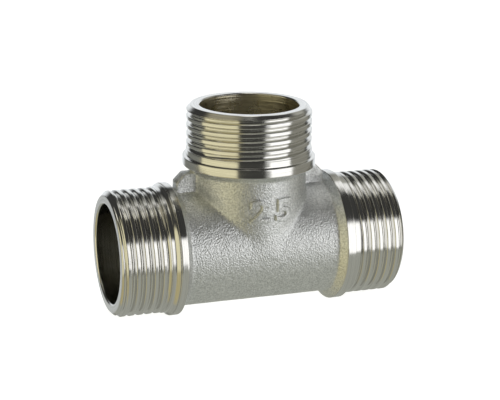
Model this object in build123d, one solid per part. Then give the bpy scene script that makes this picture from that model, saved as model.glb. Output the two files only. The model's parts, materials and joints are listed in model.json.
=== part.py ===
from build123d import *
import math
import os

# Equal tee with three male pipe threads: one hot-forged brass body, turned and threaded at its three ends.
# Sizes are in millimetres. The origin is where the axes of the run and of the branch meet.
# The run lies along X, the branch points up along Z, and Y = 0 is the parting plane of the forging.

# Thread: ISO 228 G 1, 11 turns to the inch, 55 degree flanks, parallel
MAJOR_DIAMETER = 33.25
THREAD_DEPTH = 1.479
PITCH = 25.4 / 11
FLANK_ANGLE = 27.5          # half of the 55 degree thread angle
CREST_DIAMETER = 32.9       # crests are cut just under the major diameter, within the thread's tolerance

# Reach of each end from the origin
RUN_REACH = 38.6
BRANCH_REACH = 37.5

# Waterway and forged walls
BORE_DIAMETER = 26.0
RUN_DIAMETER = 30.5
BRANCH_DIAMETER = 30.1      # slightly under the run, so the seam between them stays crisp at the front

# Each turned end, as distances from the origin along its own axis
COLLAR_DIAMETER = 35.0
COLLAR_FRONT = 24.0         # shoulder that a mating part stops against
COLLAR_BACK = 21.7          # where the turned collar meets the rough forging
CONE_FOOT = 20.2            # where the forged cone under the collar meets the wall
SHANK_FRONT = 25.8          # end of the plain shank in front of the collar
RUNOUT_LENGTH = 1.8         # the thread rises out of the metal over this length
END_CHAMFER = 1.2           # 45 degree lead-in on the thread
MOUTH_CHAMFER = 0.3         # broken edge of the bore
COLLAR_EDGE = 0.2           # broken edge of the collar's shoulder

# Ribs that stiffen the two inside corners
RIB_REACH = 20.4
RIB_THICKNESS = 4.0
RIB_CHAMFER = 2.2

CREST_RADIUS = CREST_DIAMETER / 2
ROOT_RADIUS = MAJOR_DIAMETER / 2 - THREAD_DEPTH
BORE_RADIUS = BORE_DIAMETER / 2
COLLAR_RADIUS = COLLAR_DIAMETER / 2


def turned(points):
    """Solid turned round Z from an outline of (radius, height) points."""
    outline = Polyline(*[(radius, 0, height) for radius, height in points], close=True)
    return revolve(make_face(outline), Axis.Z)


def nose(reach):
    """Plain end on Z before threading, with its 45 degree lead-in."""
    return turned([
        (0, COLLAR_BACK),
        (CREST_RADIUS, COLLAR_BACK),
        (CREST_RADIUS, reach - END_CHAMFER),
        (CREST_RADIUS - END_CHAMFER, reach),
        (0, reach),
    ])


def thread_turn(height):
    """One turn of the thread's groove, as a solid to cut away: a flat root and two 27.5 degree flanks."""
    outside = 0.35          # the cutter stands this far proud of the crests
    depth = CREST_RADIUS - ROOT_RADIUS
    slope = math.tan(math.radians(FLANK_ANGLE))
    half_root = (PITCH / 2 - depth * slope) / 2
    half_top = half_root + (depth + outside) * slope
    path = Helix(PITCH, PITCH, ROOT_RADIUS, center=(0, 0, height))
    section = Plane(origin=path @ 0, x_dir=(1, 0, 0), z_dir=path % 0)
    profile = section * Polyline(
        (0, -half_root),
        (depth + outside, -half_top),
        (depth + outside, half_top),
        (0, half_root),
        close=True,
    )
    return sweep(make_face(profile), path, is_frenet=True)


def shoulder(wall_diameter):
    """Forged cone, turned collar, plain shank, and the cone on which the thread runs out, on Z."""
    return turned([
        (0, CONE_FOOT),
        (wall_diameter / 2, CONE_FOOT),
        (COLLAR_RADIUS, COLLAR_BACK),
        (COLLAR_RADIUS, COLLAR_FRONT - COLLAR_EDGE),
        (COLLAR_RADIUS - COLLAR_EDGE, COLLAR_FRONT),
        (MAJOR_DIAMETER / 2, COLLAR_FRONT),
        (MAJOR_DIAMETER / 2, SHANK_FRONT),
        (CREST_RADIUS, SHANK_FRONT),
        (ROOT_RADIUS, SHANK_FRONT + RUNOUT_LENGTH),
        (0, SHANK_FRONT + RUNOUT_LENGTH),
    ])


def threaded_end(reach, wall_diameter):
    """One finished end on Z, still without its bore. The groove is cut one turn at a time."""
    end = nose(reach)
    height = SHANK_FRONT - PITCH / 2
    while height < reach:
        end = end - thread_turn(height)
        height += PITCH
    return end + shoulder(wall_diameter)


def rib(side):
    """Flat web in one inside corner, with its outer corner cut off. side is -1 for left, 1 for right."""
    outline = Polyline(
        (0, 0),
        (RIB_REACH, 0),
        (RIB_REACH, RIB_REACH - RIB_CHAMFER),
        (RIB_REACH - RIB_CHAMFER, RIB_REACH),
        (0, RIB_REACH),
        close=True,
    )
    web = extrude(make_face(Plane.XZ * outline), RIB_THICKNESS / 2, both=True)
    return web if side > 0 else mirror(web, Plane.YZ)


def bore(reach):
    """Waterway of one end along Z, with the broken edge at its mouth."""
    return turned([
        (0, 0),
        (BORE_RADIUS, 0),
        (BORE_RADIUS, reach - MOUTH_CHAMFER),
        (BORE_RADIUS + MOUTH_CHAMFER, reach),
        (0, reach),
    ])


def tee_body():
    """The whole fitting: forged walls, ribs and three threaded ends, bored through."""
    to_right = Rotation(0, 90, 0)
    to_left = Rotation(0, -90, 0)
    run_wall = Rotation(0, 90, 0) * Cylinder(RUN_DIAMETER / 2, 2 * CONE_FOOT)
    branch_wall = Pos(0, 0, CONE_FOOT / 2) * Cylinder(BRANCH_DIAMETER / 2, CONE_FOOT)
    run_end = threaded_end(RUN_REACH, RUN_DIAMETER)
    branch_end = threaded_end(BRANCH_REACH, BRANCH_DIAMETER)
    metal = run_wall + branch_wall + rib(-1) + rib(1)
    metal = metal + to_left * run_end + to_right * run_end + branch_end
    run_bore = bore(RUN_REACH)
    return metal - to_left * run_bore - to_right * run_bore - bore(BRANCH_REACH)


os.makedirs("parts", exist_ok=True)
export_step(tee_body(), "parts/tee_body.step")
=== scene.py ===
# %% [markdown]
# # A pipe tee with three threaded ends
#
# The real object is one piece of brass. A hot billet is stamped between two dies into the rough tee, which
# is shot-blasted. Then the three ends are bored, turned and threaded on a lathe, and the whole is nickel
# plated. So two surfaces meet on it: bright turned metal on the ends, and dull, grainy metal on the body.
#
# The model follows the workshop. A forged body is grown from a rule for its shape, three turned ends are
# cut by a rule for their thread, and they touch where the lathe's cut meets the rough forging.
#
# The frame is the plain solid that the mechanics use. It is loaded first, and the reach of the ends and the
# width of the collars are read from it, so that both models have one size.

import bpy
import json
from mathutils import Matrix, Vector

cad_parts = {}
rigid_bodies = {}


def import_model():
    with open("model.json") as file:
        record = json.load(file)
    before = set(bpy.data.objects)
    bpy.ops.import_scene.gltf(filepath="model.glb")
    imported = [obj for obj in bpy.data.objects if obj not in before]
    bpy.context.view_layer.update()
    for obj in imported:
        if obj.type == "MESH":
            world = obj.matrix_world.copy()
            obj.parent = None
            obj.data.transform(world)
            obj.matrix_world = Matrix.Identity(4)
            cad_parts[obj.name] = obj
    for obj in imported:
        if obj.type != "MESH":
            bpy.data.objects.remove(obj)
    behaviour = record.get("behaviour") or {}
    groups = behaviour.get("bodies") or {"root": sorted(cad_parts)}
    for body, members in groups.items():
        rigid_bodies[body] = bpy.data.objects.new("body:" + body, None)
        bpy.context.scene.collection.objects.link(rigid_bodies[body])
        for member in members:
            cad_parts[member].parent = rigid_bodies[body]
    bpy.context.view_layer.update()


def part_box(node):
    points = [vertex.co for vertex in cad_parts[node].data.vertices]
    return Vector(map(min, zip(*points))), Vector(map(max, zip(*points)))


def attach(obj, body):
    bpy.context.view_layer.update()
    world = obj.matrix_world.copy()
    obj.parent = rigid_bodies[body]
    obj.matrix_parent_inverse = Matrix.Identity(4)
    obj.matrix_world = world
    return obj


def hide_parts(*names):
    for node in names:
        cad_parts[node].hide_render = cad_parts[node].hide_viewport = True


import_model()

import json
import math

import bmesh
import bpy
from mathutils import Matrix, Vector

MM = 0.001                   # sizes in this script are in millimetres, and Blender's are in metres
low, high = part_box("tee_body")
RUN_REACH = high.x / MM
BRANCH_REACH = high.z / MM
COLLAR_RADIUS = high.y / MM
print(f"the run reaches {RUN_REACH:.2f} mm and the branch {BRANCH_REACH:.2f} mm")
print(f"the collars are {2 * COLLAR_RADIUS:.2f} mm across")

# %% [markdown]
# ## Two helpers for node trees
#
# Every rule and every finish below is a node tree. One helper adds a node with its settings and links. The
# other wraps a number in a tree, so that arithmetic on it adds Math nodes and a rule can be read as a
# formula.

# %% Node helpers


def add(tree, kind, inputs=(), **settings):
    """Adds a node with its settings. Inputs go in order, or by name from a dict, as values or as links."""
    node = tree.nodes.new(kind)
    for name, value in settings.items():
        setattr(node, name, value)
    # a node that works on several types of data has one input of each name per type, and enables one of them
    sockets = [socket for socket in node.inputs if socket.enabled]
    if isinstance(inputs, dict):
        names = [socket.name for socket in sockets]
        pairs = [(sockets[names.index(name)], value) for name, value in inputs.items()]
    else:
        pairs = zip(sockets, inputs)
    for socket, value in pairs:
        value = value.socket if isinstance(value, Value) else value
        if isinstance(value, bpy.types.NodeSocket):
            tree.links.new(value, socket)
        else:
            socket.default_value = value
    return node


class Value:
    """A number in a node tree. Arithmetic on it adds Math nodes."""

    def __init__(self, tree, socket):
        self.tree = tree
        self.socket = socket

    def math(self, operation, *inputs):
        """The result of a Math node. Where no inputs are given, it works on this number alone."""
        node = add(self.tree, "ShaderNodeMath", inputs or (self,), operation=operation)
        return Value(self.tree, node.outputs[0])

    def __add__(self, other):
        return self.math("ADD", self, other)

    def __sub__(self, other):
        return self.math("SUBTRACT", self, other)

    def __rsub__(self, other):
        return self.math("SUBTRACT", other, self)

    def __mul__(self, other):
        return self.math("MULTIPLY", self, other)

    def __truediv__(self, other):
        return self.math("DIVIDE", self, other)

    def __abs__(self):
        return self.math("ABSOLUTE")

    def root(self):
        return self.math("SQRT")

    def smaller(self, other, blend=0.0):
        return self.math("SMOOTH_MIN", self, other, blend)

    def larger(self, other, blend=0.0):
        return self.math("SMOOTH_MAX", self, other, blend)


def linear(hex_colour):
    """Linear RGBA of an sRGB colour such as "#e1e0dc"."""
    channels = [int(hex_colour[i:i + 2], 16) / 255 for i in (1, 3, 5)]
    return [c / 12.92 if c < 0.04045 else ((c + 0.055) / 1.055) ** 2.4 for c in channels] + [1.0]


# %% [markdown]
# ## Bright nickel on turned metal
#
# The lathe leaves a smooth surface with very fine rings round the axis, and nickel plating a few
# micrometres thick follows it. To the eye it is a slightly warm mirror whose reflections are drawn out a
# little, with a faint streakiness along the rings. The rings are cut every 0.1 mm or so, too fine to see
# at arm's length, so they are drawn 0.35 mm apart. They follow the attribute "lathe", which each turned
# end carries: its three numbers are the way round the axis, the distance along it and the radius, all in
# millimetres.
#
# The bore is cut by a rougher tool and its plating is thin, because the current hardly reaches inside. The
# same material with deeper rings, more roughness and a yellower tint gives the eye that duller, warmer
# wall.

# %% Turned nickel
NICKEL = "#e1e0dc"           # bright nickel: a slightly warm silver
BORE_TINT = "#d2cbb4"        # thin plating, with the brass showing through it
RING_SPACING = 0.35
ALONG_A_RING = 0.05          # a streak hardly changes along its own ring
STREAK_SHADE = 0.86          # how light the darkest rings are, where dirt and wear sit in them
PATCH_SIZE = 3.0             # of the duller and the brighter patches
TURNED_ROUGHNESS = (0.10, 0.17)
TURNED_RING_HEIGHT = 0.008
BORE_ROUGHNESS = (0.24, 0.36)
BORE_RING_HEIGHT = 0.10


def new_material(name):
    """An empty material and its node tree."""
    material = bpy.data.materials.new(name)
    material.use_nodes = True
    material.node_tree.nodes.clear()
    print(f"material {name}")
    return material, material.node_tree


def finish_material(tree, settings):
    """Adds the shader with its settings and joins it to the output."""
    shader = add(tree, "ShaderNodeBsdfPrincipled", settings)
    add(tree, "ShaderNodeOutputMaterial", {"Surface": shader.outputs[0]})


def turned_nickel(name, colour, roughness, ring_height):
    """Nickel on lathe rings of a height in millimetres. Its roughness varies between two values."""
    material, tree = new_material(name)
    lathe = add(tree, "ShaderNodeAttribute", attribute_name="lathe").outputs["Vector"]
    stretch = (ALONG_A_RING, 1 / RING_SPACING, 1 / RING_SPACING)
    rings = add(tree, "ShaderNodeVectorMath", (lathe, stretch), operation="MULTIPLY").outputs[0]
    streaks = add(tree, "ShaderNodeTexNoise", {"Vector": rings, "Scale": 1.0, "Detail": 3.0}).outputs[0]
    place = add(tree, "ShaderNodeTexCoord").outputs["Object"]
    patches = add(tree, "ShaderNodeTexNoise", {
        "Vector": place, "Scale": 1 / (PATCH_SIZE * MM), "Detail": 2.0}).outputs[0]
    dulled = add(tree, "ShaderNodeMapRange", {
        "Value": patches, "From Min": 0.35, "From Max": 0.7,
        "To Min": roughness[0], "To Max": roughness[1]}).outputs[0]

    # a mix from black only darkens, so a worn ring keeps the hue of the metal
    worn = add(tree, "ShaderNodeMapRange", {
        "Value": streaks, "From Min": 0.35, "From Max": 0.6,
        "To Min": STREAK_SHADE, "To Max": 1.0}).outputs[0]
    tint = add(tree, "ShaderNodeMix", {"Factor": worn, "A": linear("#000000"), "B": linear(colour)},
               data_type="RGBA").outputs[2]
    bump = add(tree, "ShaderNodeBump", {
        "Height": streaks, "Strength": 1.0, "Distance": ring_height * MM}).outputs[0]
    finish_material(tree, {"Base Color": tint, "Metallic": 1.0, "Roughness": dulled, "Normal": bump})
    return material


TURNED = turned_nickel("bright_nickel_plate_on_turned_brass", NICKEL, TURNED_ROUGHNESS, TURNED_RING_HEIGHT)
BORED = turned_nickel("dull_nickel_plate_in_the_bore", BORE_TINT, BORE_ROUGHNESS, BORE_RING_HEIGHT)

# %% [markdown]
# ## Dull nickel on the blasted forging
#
# Steel shot leaves overlapping dimples, about 0.4 mm wide, all over the forging. Plated, each dimple's
# edge catches the light on its own, so the surface sparkles in fine grains of light and dark grey instead
# of reflecting a picture. Noise alone would look like sand, and cells alone like hammered tin, so the two
# are added, at slightly different sizes.

# %% Blasted nickel
GRAIN = 0.46                 # width of the irregular grain in millimetres
DIMPLE = 0.8                 # width of a shot dimple, against the grain's
DIMPLE_DEPTH = 0.12
DARK_GRAIN = "#c6c8c7"
LIGHT_GRAIN = "#fafbfa"
BLASTED_ROUGHNESS = 0.46


def blasted_nickel():
    """Nickel that sparkles in fine grains and reflects no picture."""
    material, tree = new_material("dull_nickel_plate_on_shot_blasted_brass")
    place = add(tree, "ShaderNodeTexCoord").outputs["Object"]
    grain = add(tree, "ShaderNodeTexNoise", {
        "Vector": place, "Scale": 1 / (GRAIN * MM), "Detail": 2.0, "Roughness": 0.6}).outputs[0]
    dimples = add(tree, "ShaderNodeTexVoronoi", {
        "Vector": place, "Scale": 1 / (DIMPLE * GRAIN * MM)}, feature="SMOOTH_F1").outputs[0]
    height = add(tree, "ShaderNodeMath", (grain, dimples), operation="ADD").outputs[0]
    bump = add(tree, "ShaderNodeBump", {
        "Height": height, "Strength": 0.85, "Distance": DIMPLE_DEPTH * MM}).outputs[0]
    shade = add(tree, "ShaderNodeMapRange", {"Value": grain, "From Min": 0.3, "From Max": 0.7}).outputs[0]
    colour = add(tree, "ShaderNodeMix", {
        "Factor": shade, "A": linear(DARK_GRAIN), "B": linear(LIGHT_GRAIN)}, data_type="RGBA").outputs[2]
    finish_material(tree, {
        "Base Color": colour, "Metallic": 1.0, "Roughness": BLASTED_ROUGHNESS, "Normal": bump})
    return material


BLASTED = blasted_nickel()

# %% [markdown]
# ## The blank on the lathe
#
# Each end starts as a plain turned ring: bore, flat end face, lead-in chamfer, thread cylinder, shank,
# shoulder and collar. It is drawn as a closed outline of (distance along the axis, radius) points and
# swept round the axis. A Screw modifier could sweep it too, but here the rows have to lie close together
# where the thread will be cut, and far apart where nothing happens. Every corner of turned metal is
# slightly broken, so each corner of the outline is rounded, and that thin round edge is what catches a
# highlight.

# %% Turned blanks
BORE_RADIUS = 13.0
CREST_RADIUS = 16.5
SHANK_STEP = 0.1             # the plain shank stands this far above the crests
SHANK_RADIUS = CREST_RADIUS + SHANK_STEP
COLLAR_BACK = 21.7           # the forging begins behind this plane
COLLAR_FRONT = 24.0
SHANK_FRONT = 25.8
LEAD_IN = 1.2                # 45 degree chamfer in front of the thread
MOUTH_EDGE = 0.3             # 45 degree broken edge of the bore
SHOULDER_LEAN = 0.15         # the foot of a square shoulder lies this far in front of its edge
STEPS_ROUND = 192            # steps of the sweep round the axis
PLAIN_RADIUS = BORE_RADIUS + 1.5   # nothing is cut nearer to the axis than this
THREAD_ROW = 0.09            # longest row where the thread is cut
OUTSIDE_ROW = 0.3
BORE_ROW = 2.0


def rounded(outline, broken=0.1, curve_steps=3):
    """The closed outline with each corner made a curve that starts at most `broken` from the corner."""
    points = []
    for i, corner in enumerate(outline):
        before, after = outline[i - 1], outline[(i + 1) % len(outline)]
        cut_in = min(broken, (before - corner).length / 3)
        cut_out = min(broken, (after - corner).length / 3)
        start = corner + (before - corner).normalized() * cut_in
        end = corner + (after - corner).normalized() * cut_out
        for step in range(curve_steps + 1):
            t = step / curve_steps
            points.append(start * (1 - t) ** 2 + corner * 2 * t * (1 - t) + end * t ** 2)
    return points


def closer(outline, row_length):
    """The closed outline with rows added so that none is longer than row_length(point)."""
    points = []
    for i, here in enumerate(outline):
        there = outline[(i + 1) % len(outline)]
        count = max(1, math.ceil((there - here).length / row_length((here + there) / 2)))
        points += [here.lerp(there, k / count) for k in range(count)]
    return points


# the shoulder of a collar, as (distance, radius) points from its edge to its foot on the shank
SQUARE_SHOULDER = (
    (COLLAR_FRONT, COLLAR_RADIUS),
    (COLLAR_FRONT + SHOULDER_LEAN, SHANK_RADIUS),
)
# the same with a fine line cut 0.35 mm deep behind a chamfer
CHAMFERED_SHOULDER = (
    (COLLAR_FRONT - 0.4, COLLAR_RADIUS),
    (COLLAR_FRONT - 0.3, COLLAR_RADIUS - 0.35),
    (COLLAR_FRONT - 0.15, COLLAR_RADIUS - 0.12),
    (COLLAR_FRONT + 0.75, SHANK_RADIUS),
)


def row_length(point):
    """How long a row of the blank may be at a point of its outline."""
    if point.y <= BORE_RADIUS:
        return BORE_ROW
    threaded = point.x > SHANK_FRONT and point.y > PLAIN_RADIUS
    return THREAD_ROW if threaded else OUTSIDE_ROW


def turned_blank(reach, shoulder):
    """The ring of one end, on Z, in millimetres, before its thread is cut."""
    outline = [Vector(point) for point in (
        (COLLAR_BACK, BORE_RADIUS),
        (COLLAR_BACK, COLLAR_RADIUS),
        *shoulder,
        (SHANK_FRONT, SHANK_RADIUS),
        (SHANK_FRONT + SHANK_STEP, CREST_RADIUS),
        (reach - LEAD_IN, CREST_RADIUS),
        (reach, CREST_RADIUS - LEAD_IN),
        (reach, BORE_RADIUS + MOUTH_EDGE),
        (reach - MOUTH_EDGE, BORE_RADIUS),
    )]
    rows = closer(rounded(outline), row_length)
    vertices = []
    for row in rows:
        for step in range(STEPS_ROUND):
            angle = 2 * math.pi * step / STEPS_ROUND
            vertices.append((row.y * math.cos(angle), row.y * math.sin(angle), row.x))
    faces = []
    for i in range(len(rows)):
        here, there = i * STEPS_ROUND, (i + 1) % len(rows) * STEPS_ROUND
        for step in range(STEPS_ROUND):
            after = (step + 1) % STEPS_ROUND
            faces.append((here + step, here + after, there + after, there + step))
    mesh = bpy.data.meshes.new("blank")
    mesh.from_pydata(vertices, [], faces)
    print(f"blank of reach {reach:.1f} mm: {len(rows)} rows, {len(faces)} faces")
    return mesh


# %% [markdown]
# ## Trees that make a mesh
#
# A Geometry Nodes tree is made once, with named inputs for its sizes, and a modifier runs it. Its result
# is copied to a plain mesh, so that nothing is left to work out later. The trees work in millimetres, and
# bring their result to metres at the end.

# %% Tree helpers


def new_tree(name, inputs):
    """A node tree that makes geometry, its named inputs, and those that are numbers as Values."""
    tree = bpy.data.node_groups.new(name, "GeometryNodeTree")
    for label, kind in inputs.items():
        tree.interface.new_socket(label, in_out="INPUT", socket_type="NodeSocket" + kind)
    tree.interface.new_socket("Geometry", in_out="OUTPUT", socket_type="NodeSocketGeometry")
    given = tree.nodes.new("NodeGroupInput").outputs
    number = {label: Value(tree, given[label]) for label, kind in inputs.items() if kind == "Float"}
    return tree, given, number


def finish_tree(tree, geometry, material):
    """Ends a tree: metres instead of millimetres, smooth shading, plain geometry, and its material."""
    metres = add(tree, "GeometryNodeTransform", {"Geometry": geometry, "Scale": (MM, MM, MM)}).outputs[0]
    smooth = add(tree, "GeometryNodeSetShadeSmooth", {"Geometry": metres}).outputs[0]
    plain = add(tree, "GeometryNodeRealizeInstances", {"Geometry": smooth}).outputs[0]
    painted = add(tree, "GeometryNodeSetMaterial", {"Geometry": plain, "Material": material}).outputs[0]
    add(tree, "NodeGroupOutput", {"Geometry": painted})


def new_object(name, data):
    """An object in the scene, at the origin."""
    made = bpy.data.objects.new(name, data)
    bpy.context.scene.collection.objects.link(made)
    return made


def worked_out(made):
    """The plain mesh that an object comes to, with its modifiers and its text worked out."""
    graph = bpy.context.evaluated_depsgraph_get()
    return bpy.data.meshes.new_from_object(
        made.evaluated_get(graph), preserve_all_data_layers=True, depsgraph=graph)


def run_tree(name, tree, settings, start=None):
    """Runs a tree on a mesh, or on nothing, and returns an object that holds only the mesh it made."""
    holder = new_object("holder", start or bpy.data.meshes.new("empty"))
    modifier = holder.modifiers.new("tree", "NODES")
    modifier.node_group = tree
    for item in tree.interface.items_tree:
        if item.name in settings:
            modifier[item.identifier] = settings[item.name]
    mesh = worked_out(holder)
    bpy.data.objects.remove(holder)
    print(f"{name}: {len(mesh.vertices)} vertices, {len(mesh.polygons)} faces")
    return new_object(name, mesh)


# %% [markdown]
# ## Cutting the thread
#
# The thread is the G 1 pipe thread: 11 turns to the inch, with flanks at 55 degrees to each other. On a
# used fitting it is blunt, so it is drawn shallower than in the standard, with wide flat crests and soft
# corners. A spiral cutter could be swept and taken away with a Boolean, but that is slow, and it tears the
# faces where the cutter leaves the metal. A rule does it cleanly. A point of the blank lies some way
# between two crests, found from its distance along the axis less the part of a turn that its angle makes.
# That alone gives the radius of the thread there, and the tree moves the point in to it. In front of the
# shank the tool was drawn out of the metal, so each groove ends there in a short hollow.

# %% Thread cutter
PITCH = 25.4 / 11
THREAD_DEPTH = 0.90          # as a worn, blunt thread shows it; the standard's is 1.479
CREST_WIDTH = 0.95
HALF_FLANK_ANGLE = math.radians(27.5)
ROUNDING = 0.25              # how softly the flank runs into crest and root
RUN_OUT_ROUNDING = 0.12
STAY_CLEAR = 10.0            # how fast the tool leaves everything behind the shank

# the sizes that all three threads share, by the names of the tree's inputs
THREAD = {
    "Pitch": PITCH,
    "Crest radius": CREST_RADIUS,
    "Crest width": CREST_WIDTH,
    "Depth": THREAD_DEPTH,
    "Shank front": SHANK_FRONT,
}


def thread_cutter():
    """The tree that cuts one end's thread, notes the place of each point, and turns the end into place."""
    sizes = dict.fromkeys((*THREAD, "Run-out", "Crest at", "Tilt"), "Float")
    tree, given, number = new_tree("thread_cutter", {"Blank": "Geometry", **sizes, "Material": "Material"})
    pitch, crest, depth = number["Pitch"], number["Crest radius"], number["Depth"]
    position = add(tree, "GeometryNodeInputPosition").outputs[0]
    x, y, along = (Value(tree, output) for output in add(tree, "ShaderNodeSeparateXYZ", (position,)).outputs)
    radius = (x * x + y * y).root()
    angle = y.math("ARCTAN2", y, x)

    # distance from the middle of the nearest crest, then a flat crest, a straight flank and a flat root
    turns = (along - number["Crest at"]) / pitch - angle / (2 * math.pi)
    from_crest = turns.math("PINGPONG", turns, 0.5) * pitch
    down_flank = (from_crest - number["Crest width"] / 2) / math.tan(HALF_FLANK_ANGLE)
    threaded = crest - down_flank.larger(0.0, ROUNDING).smaller(depth, ROUNDING)

    # the tool leaves the metal in a hollow that is steepest at the shank, and cuts nothing behind it
    past_shank = (along - number["Shank front"]) / number["Run-out"]
    leaving = crest - depth * past_shank.larger(0.0).root() - past_shank.smaller(0.0) * STAY_CLEAR
    cut = radius.smaller(threaded.larger(leaving, RUN_OUT_ROUNDING))
    scale = cut / radius
    moved = add(tree, "ShaderNodeCombineXYZ", (x * scale, y * scale, along)).outputs[0]
    shaped = add(tree, "GeometryNodeSetPosition", {"Geometry": given["Blank"], "Position": moved}).outputs[0]

    # where each point is as the lathe sees it, for the finish
    lathe = add(tree, "ShaderNodeCombineXYZ", (angle * radius, along, radius)).outputs[0]
    marked = add(tree, "GeometryNodeStoreNamedAttribute", {
        "Geometry": shaped, "Name": "lathe", "Value": lathe},
        data_type="FLOAT_VECTOR", domain="POINT").outputs[0]
    turn = add(tree, "FunctionNodeAxisAngleToRotation", {
        "Axis": (0, 1, 0), "Angle": number["Tilt"]}).outputs[0]
    placed = add(tree, "GeometryNodeTransform", {"Geometry": marked, "Rotation": turn}).outputs[0]
    finish_tree(tree, placed, given["Material"])
    return tree


CUTTER = thread_cutter()
print(f"thread of pitch {PITCH:.3f} mm, {THREAD_DEPTH:.2f} mm deep")

# %% [markdown]
# ## Three turned ends
#
# All three ends carry the same thread, but each is cut by a tool of its own. So the thread starts at
# another angle on each, and its run-out differs a little. The left collar has a chamfer and a fine line,
# where the others are square. The run's bore is bright, and the branch's is duller and warmer. What
# differs is kept in one table, and one loop turns the ends.

# %% Three turned ends
# reach, tilt from the Z axis in degrees, where a crest lies at angle 0, length of the run-out, shoulder,
# and finish of the bore
ENDS = {
    "turned_end_left": (RUN_REACH, -90, 0.42, 1.3, CHAMFERED_SHOULDER, TURNED),
    "turned_end_right": (RUN_REACH, 90, 2.18, 1.5, SQUARE_SHOULDER, TURNED),
    "turned_end_top": (BRANCH_REACH, 0, 0.85, 1.5, SQUARE_SHOULDER, BORED),
}
BORE_SLOT = 1                # the second of a piece's materials, after the one that its tree gave it
NEAR_BORE = 0.02             # a point is on the bore's wall if its radius is within this of the bore's


def paint_bore(piece, finish):
    """Gives the faces of the waterway their own finish, and returns how many there are."""
    mesh = piece.data
    mesh.materials.append(finish)
    radii = [item.vector[2] for item in mesh.attributes["lathe"].data]
    count = 0
    for face in mesh.polygons:
        if max(radii[corner] for corner in face.vertices) < BORE_RADIUS + NEAR_BORE:
            face.material_index = BORE_SLOT
            count += 1
    return count


ends = []
for name, (reach, tilt, crest_at, run_out, shoulder, bore_finish) in ENDS.items():
    settings = {**THREAD, "Run-out": run_out, "Crest at": crest_at, "Tilt": math.radians(tilt)}
    settings["Material"] = TURNED
    turned_end = run_tree(name, CUTTER, settings, turned_blank(reach, shoulder))
    bored = paint_bore(turned_end, bore_finish)
    print(f"{name}: {bored} faces are bore")
    ends.append(turned_end)

# %% [markdown]
# ## The forged body
#
# A forging has no sharp inside corners: hot metal flows round them. Such a shape is awkward to join from
# cylinders and easy to state as a rule, the distance from each simple shape, blended where two of them
# meet. The tree works that distance out on a grid of small cells and draws the surface where it is zero.
# The thin raised line in the plane of the two axes is where the dies closed and the flash was trimmed off.

# %% Forged body
CONE_FOOT = 20.2             # the forging flares from here out to the collar
RIM_STEP = 0.25              # the flare ends this far inside the collar's edge
FORGING = {
    "Run radius": 15.25,
    "Branch radius": 15.05,
    "Collar radius": COLLAR_RADIUS - RIM_STEP,
    "Cone foot": CONE_FOOT,
    "Cone end": COLLAR_BACK,
    "Rib reach": 20.4,
    "Rib half thickness": 2.0,
    "Rib corner": 2.2,       # cut off the outer corner of the rib
    "Cell": 0.34,
}
BLOCK_REACH = 23.0           # the cells fill a block that reaches this far to each side

# how far the metal flows round each kind of corner
SADDLE_ROUND = 1.1           # between run and branch
CONE_ROUND = 0.5
RIB_CORNER_ROUND = 0.5
RIB_EDGE_ROUND = 0.6
RIB_FOOT_ROUND = 0.9

FLASH_HEIGHT = 0.10
FLASH_HALF_WIDTH = 0.6
UNEVENNESS = 0.16
UNEVEN_WAVE = 2.0            # length of the waves in a forged skin


def forging():
    """The tree that grows the solid body from a rule: negative numbers are inside the metal."""
    sizes = dict.fromkeys(FORGING, "Float")
    tree, given, number = new_tree("forging", {**sizes, "Material": "Material"})
    position = add(tree, "GeometryNodeInputPosition").outputs[0]
    x, y, z = (Value(tree, output) for output in add(tree, "ShaderNodeSeparateXYZ", (position,)).outputs)
    side = abs(x)
    below = z * -1.0
    from_run = (y * y + z * z).root()
    from_branch = (x * x + y * y).root()

    def cone(from_axis, along, wall):
        """Distance from the flare under a collar."""
        slope = (number["Collar radius"] - wall) / (number["Cone end"] - number["Cone foot"])
        across = (slope * slope + 1.0).root()
        return (from_axis - wall - slope * (along - number["Cone foot"])) / across

    run = from_run - number["Run radius"]
    branch = (from_branch - number["Branch radius"]).larger(below)
    walls = run.smaller(branch, SADDLE_ROUND)
    walls = walls.smaller(cone(from_run, side, number["Run radius"]), CONE_ROUND)
    walls = walls.smaller(cone(from_branch, z, number["Branch radius"]), CONE_ROUND)

    # two flat ribs, one on each side, with their outer corners cut off at 45 degrees
    reach = number["Rib reach"]
    corner = (side + z - reach * 2.0 + number["Rib corner"]) * math.sqrt(0.5)
    rib = (side - reach).larger(z - reach, RIB_CORNER_ROUND).larger(corner, RIB_CORNER_ROUND)
    rib = rib.larger(abs(y) - number["Rib half thickness"], RIB_EDGE_ROUND).larger(below)
    metal = walls.smaller(rib, RIB_FOOT_ROUND)

    # the trimmed flash line, and the unevenness of a forged skin
    flash = (1.0 - abs(y) / FLASH_HALF_WIDTH).larger(0.0)
    noise = add(tree, "ShaderNodeTexNoise", {
        "Vector": position, "Scale": 1 / UNEVEN_WAVE, "Detail": 3.0}).outputs[0]
    uneven = Value(tree, noise) - 0.5
    metal = metal - flash * FLASH_HEIGHT - uneven * UNEVENNESS

    cells = reach.math("DIVIDE", 2 * BLOCK_REACH, number["Cell"])
    volume = add(tree, "GeometryNodeVolumeCube", {
        "Density": metal * -1.0, "Background": -1.0, "Min": [-BLOCK_REACH] * 3, "Max": [BLOCK_REACH] * 3,
        "Resolution X": cells, "Resolution Y": cells, "Resolution Z": cells}).outputs[0]
    skin = add(tree, "GeometryNodeVolumeToMesh", {"Volume": volume, "Threshold": 0.0}).outputs[0]
    finish_tree(tree, skin, given["Material"])
    return tree


body = run_tree("forged_body", forging(), {**FORGING, "Material": BLASTED})

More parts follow.
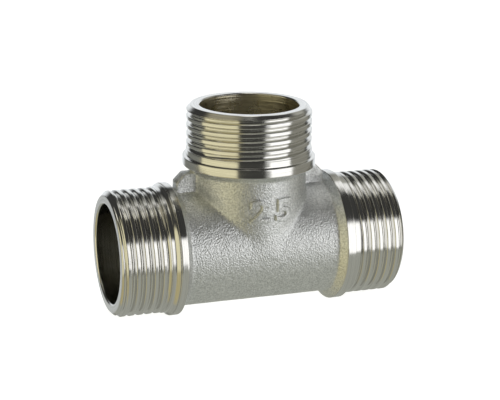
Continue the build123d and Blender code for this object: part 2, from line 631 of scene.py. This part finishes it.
# %% [markdown]
# ## Boring the body
#
# The grown body is solid and runs on past its ends. It is cut off square behind each collar, and gets the
# two waterways. Two bores of one size meet in flat curves that lean at 45 degrees, so the seam between
# them is known exactly: along it, a point is as high above the run's axis as it is far to the side of the
# branch's. Under the run's axis there is no branch, and the run's two walls meet in the middle. A Boolean
# would have to find that seam among thousands of small faces. Here the walls are drawn as straight strips
# between each mouth and the seam, and flat faces close the metal between bore and skin.

# %% Bored body
BORE_STEPS = 96
MERGE_WITHIN = 0.002         # points of the walls that are nearer than this are one point
CREASE = math.radians(50)    # an edge that is sharper than this stays sharp to the eye


def cut_square(skin, axis):
    """Cuts the skin off behind the collar in the direction of axis, and returns the edges of the cut."""
    everything = skin.verts[:] + skin.edges[:] + skin.faces[:]
    cut = bmesh.ops.bisect_plane(
        skin, geom=everything, plane_co=axis * COLLAR_BACK * MM, plane_no=axis, clear_outer=True)["geom_cut"]
    return [item for item in cut if isinstance(item, bmesh.types.BMEdge)]


def strip(skin, first, second):
    """A band of faces between two rows of points, and the edges of its first row."""
    first = [skin.verts.new(point * MM) for point in first]
    second = [skin.verts.new(point * MM) for point in second]
    edges = []
    for i in range(BORE_STEPS):
        j = (i + 1) % BORE_STEPS
        face = skin.faces.new((first[i], first[j], second[j], second[i]))
        face.smooth = True
        face.material_index = BORE_SLOT
        edges.append(skin.edges.get((first[i], first[j])))
    return edges


def bore_the_body(piece):
    """Cuts the three ends off square, draws the waterways, and closes the metal between."""
    skin = bmesh.new()
    skin.from_mesh(piece.data)
    cuts = {axis: cut_square(skin, Vector(axis)) for axis in ((1, 0, 0), (-1, 0, 0), (0, 0, 1))}
    angles = [2 * math.pi * i / BORE_STEPS for i in range(BORE_STEPS)]
    circle = [(BORE_RADIUS * math.cos(angle), BORE_RADIUS * math.sin(angle)) for angle in angles]
    for axis, edges in cuts.items():
        if axis[2]:
            mouth = [Vector((a, b, COLLAR_BACK)) for a, b in circle]
            seam = [Vector((a, b, abs(a))) for a, b in circle]
        else:
            mouth = [Vector((axis[0] * COLLAR_BACK, a, b)) for a, b in circle]
            seam = [Vector((axis[0] * max(b, 0), a, b)) for a, b in circle]
        rim = strip(skin, mouth, seam)
        bmesh.ops.triangle_fill(skin, use_beauty=True, edges=edges + rim, normal=Vector(axis))
    bmesh.ops.remove_doubles(skin, verts=skin.verts[:], dist=MERGE_WITHIN * MM)
    bmesh.ops.recalc_face_normals(skin, faces=skin.faces[:])
    for edge in skin.edges:
        if len(edge.link_faces) == 2 and edge.calc_face_angle() > CREASE:
            edge.smooth = False
    open_edges = sum(1 for edge in skin.edges if len(edge.link_faces) != 2)
    skin.to_mesh(piece.data)
    skin.free()
    print(f"bored body: {len(piece.data.polygons)} faces, {open_edges} open edges")


body.data.materials.append(BORED)
bore_the_body(body)

# %% [markdown]
# ## The size mark
#
# Foundries cut a mark into the die, so that it stands up on the forging. Here it is the nominal size, 25,
# as on many such fittings. It could be a bump in the material, but raised digits have an outline that
# hides what is behind them. So it is text with some thickness and sloping sides, which a Remesh modifier
# divides finely enough to be bent round the branch.

# %% Size mark
MARK_HEIGHT = 5.9
DIGIT_SHARE = 0.73           # the height of a digit, as a share of the font's size
MARK_SPACING = 1.25
MARK_WIDENING = 1.3          # the digits are this much wider than the font draws them
MARK_RISE = 0.72
MARK_EXTRUDE = 0.5           # to each side of the text's plane, without the sloping edge
MARK_EDGE = 0.3              # width and height of the sloping edge, which also thickens the strokes
MARK_CELL = 0.10
MARK_ANGLE = math.radians(4.5)   # round the branch, from the front
MARK_LEVEL = 12.1


def size_mark():
    """The digits, raised from the front of the branch."""
    text = bpy.data.curves.new("size", "FONT")
    text.body = "25"
    text.size = MARK_HEIGHT / DIGIT_SHARE
    text.align_x = "CENTER"
    text.align_y = "CENTER"
    text.space_character = MARK_SPACING
    text.extrude = MARK_EXTRUDE
    text.bevel_depth = MARK_EDGE
    text.bevel_resolution = 2
    drawn = new_object("drawn", text)
    piece = new_object("size_mark", worked_out(drawn))
    bpy.data.objects.remove(drawn)
    remesh = piece.modifiers.new("fine", "REMESH")
    remesh.mode = "VOXEL"
    remesh.voxel_size = MARK_CELL
    remesh.use_smooth_shade = True
    piece.data = worked_out(piece)
    piece.modifiers.clear()

    # so far the text lies flat: its own z is the way out of the branch
    sunk = MARK_EXTRUDE + MARK_EDGE
    for vertex in piece.data.vertices:
        across, up, out = vertex.co
        angle = MARK_ANGLE + MARK_WIDENING * across / FORGING["Branch radius"]
        radius = FORGING["Branch radius"] + MARK_RISE - sunk + out
        vertex.co = Vector((radius * math.sin(angle), -radius * math.cos(angle), MARK_LEVEL + up)) * MM
    piece.data.materials.append(BLASTED)
    print(f"size mark: {len(piece.data.polygons)} faces")
    return piece


mark = size_mark()

# %% [markdown]
# ## The studio
#
# Polished metal has little colour of its own to show: it shows the room. The room here is a plain product
# studio. Under a dark ceiling, with lit stretches and a light overhead, stands a pale table. A large soft
# box is to the right of the camera, a warm card to the left, a lit wall behind, and a strip light above
# that. Lamps and cards could be set up as objects, but then each has to be moved to see what it does in
# the metal. Here they are painted on the sky as soft-edged patches, each given by the direction in which
# the metal sees it, so a highlight can be widened or dimmed on its own. The camera itself sees plain
# white.

# %% Sky
TABLE = "#a4a69e"
CEILING = "#3d3d3c"
# in degrees: azimuth from the front towards +X, elevation, half width, half height and width of the soft
# edge, then colour and strength. A later patch covers an earlier one.
PATCHES = {
    "table": (0, -70, 180, 56, 24, TABLE, 1.05),
    "warm table on the left": (-78, -40, 44, 22, 16, "#b8ae84", 1.1),
    "shade in front": (-13, -13, 25, 14, 8, "#42423f", 1.0),
    "shade on the right": (88, -4, 26, 34, 12, "#8c8b82", 1.1),
    "warm card": (-76, 3, 37.2, 25, 6, "#e6dfbb", 1.15),
    "foot of the soft box": (40, -14, 21, 6, 5, "#ffffff", 1.5),
    "soft box": (36, 9, 24.3, 21.5, 8, "#ffffff", 1.5),
    "wall behind": (160, 2, 33, 28, 14, "#eff3f7", 1.1),
    "warm ceiling on the left": (-92, 60, 44, 15, 14, "#b5af98", 0.8),
    "lit ceiling": (126, 46, 28, 22, 14, "#bcbcb4", 0.85),
    "strip light": (118, 58, 24, 7, 6, "#ffffff", 1.15),
    "light ceiling behind": (185, 70, 45, 8, 8, "#d8d8d4", 0.9),
    "light above": (60, 90, 180, 10, 6, "#f4f2e8", 1.8),
}


def soft_inside(distance, half, edge):
    """1 where the distance is less than half the patch's size, 0 beyond it, and soft between."""
    return Value(distance.tree, add(distance.tree, "ShaderNodeMapRange", {
        "Value": distance, "From Min": half - edge / 2, "From Max": half + edge / 2,
        "To Min": 1.0, "To Max": 0.0}, interpolation_type="SMOOTHSTEP").outputs[0])


def studio_sky():
    """Paints the patches on the world, one over the other."""
    world = bpy.data.worlds.new("studio")
    bpy.context.scene.world = world
    world.use_nodes = True
    tree = world.node_tree
    tree.nodes.clear()
    direction = add(tree, "ShaderNodeTexCoord").outputs["Generated"]
    x, y, z = (Value(tree, output) for output in add(tree, "ShaderNodeSeparateXYZ", (direction,)).outputs)
    degrees = 180 / math.pi
    azimuth = x.math("ARCTAN2", x, y * -1.0) * degrees
    elevation = z.math("ARCSINE") * degrees
    sky = linear(CEILING)
    for at, up, half_width, half_height, edge, colour, strength in PATCHES.values():
        turned = azimuth - at
        aside = turned.math("PINGPONG", turned, 180.0)
        inside = soft_inside(aside, half_width, edge) * soft_inside(abs(elevation - up), half_height, edge)
        colour = [channel * strength for channel in linear(colour)[:3]] + [1.0]
        sky = add(tree, "ShaderNodeMix", {
            "Factor": inside, "A": sky, "B": colour}, data_type="RGBA").outputs[2]
    to_camera = add(tree, "ShaderNodeLightPath").outputs["Is Camera Ray"]
    seen = add(tree, "ShaderNodeMix", {
        "Factor": to_camera, "A": sky, "B": linear("#ffffff")}, data_type="RGBA").outputs[2]
    light = add(tree, "ShaderNodeBackground", {"Color": seen})
    add(tree, "ShaderNodeOutputWorld", {"Surface": light.outputs[0]})
    print(f"sky with {len(PATCHES)} patches")


studio_sky()

# %% [markdown]
# ## Floor
#
# The floor is a plain sheet of pale paper. It glows a little, so that it comes out nearly white and keeps
# only a soft shadow under the fitting. It doesn't show in the metal, where the painted table stands for
# it.

# %% Floor
FLOOR_SIZE = 6.0             # in metres
PAPER = "#e6e6e4"
PAPER_GLOW = 0.86


def floor():
    """The sheet on which the fitting stands."""
    half = FLOOR_SIZE / 2
    mesh = bpy.data.meshes.new("floor")
    corners = ((-half, -half), (half, -half), (half, half), (-half, half))
    mesh.from_pydata([(x, y, low.z) for x, y in corners], [], [(0, 1, 2, 3)])
    sheet = new_object("floor", mesh)
    material, tree = new_material("pale_paper")
    finish_material(tree, {
        "Base Color": linear(PAPER), "Roughness": 0.9, "Specular IOR Level": 0.0,
        "Emission Color": linear("#ffffff"), "Emission Strength": PAPER_GLOW})
    material.cycles.emission_sampling = "NONE"
    mesh.materials.append(material)
    sheet.visible_glossy = False
    sheet.visible_diffuse = False
    sheet.visible_shadow = False
    return sheet


stage_floor = floor()
print(f"floor at {low.z / MM:.2f} mm")

# %% [markdown]
# ## Camera
#
# A small product is taken with a long lens from some way off, which keeps its proportions true. The camera
# looks from the front left and from above, at a point inside the branch. Its place is worked out from
# those two angles and the distance, because they are easier to correct by eye than three coordinates.

# %% Camera
VIEW_AZIMUTH = math.radians(-19.653)
VIEW_ELEVATION = math.radians(15.866)
VIEW_ROLL = math.radians(0.653)
VIEW_DISTANCE = 395.1
VIEW_TARGET = Vector((0.486, 0.0, 11.279))
SENSOR = 36.0
FOCAL_LENGTH = 107.26
NEAREST_SEEN = 0.01          # in metres
FARTHEST_SEEN = 20.0


def camera():
    """The camera, turned towards its target and rolled a little."""
    lens = bpy.data.cameras.new("camera")
    lens.sensor_width = SENSOR
    lens.lens = FOCAL_LENGTH
    lens.clip_start = NEAREST_SEEN
    lens.clip_end = FARTHEST_SEEN
    back = Vector((math.sin(VIEW_AZIMUTH) * math.cos(VIEW_ELEVATION),
                   -math.cos(VIEW_AZIMUTH) * math.cos(VIEW_ELEVATION),
                   math.sin(VIEW_ELEVATION)))
    right = Vector((math.cos(VIEW_AZIMUTH), math.sin(VIEW_AZIMUTH), 0))
    up = back.cross(right)
    rolled_right = right * math.cos(VIEW_ROLL) + up * math.sin(VIEW_ROLL)
    rolled_up = up * math.cos(VIEW_ROLL) - right * math.sin(VIEW_ROLL)
    turn = Matrix((rolled_right, rolled_up, back)).transposed().to_4x4()
    holder = new_object("camera", lens)
    holder.matrix_world = Matrix.Translation((VIEW_TARGET + back * VIEW_DISTANCE) * MM) @ turn
    bpy.context.scene.camera = holder


camera()
bpy.context.scene.view_settings.view_transform = "Standard"
print(f"camera {VIEW_DISTANCE:.0f} mm away, with a {FOCAL_LENGTH:.0f} mm lens")

# %% [markdown]
# ## Handing over
#
# Each piece rides on the fitting's one body and says which finish it takes. Together the pieces stand for
# the plain solid that the mechanics use.

# %% Hand over
for piece in ends:
    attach(piece, "root")
for piece in (body, mark):
    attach(piece, "root")
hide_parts("tee_body")
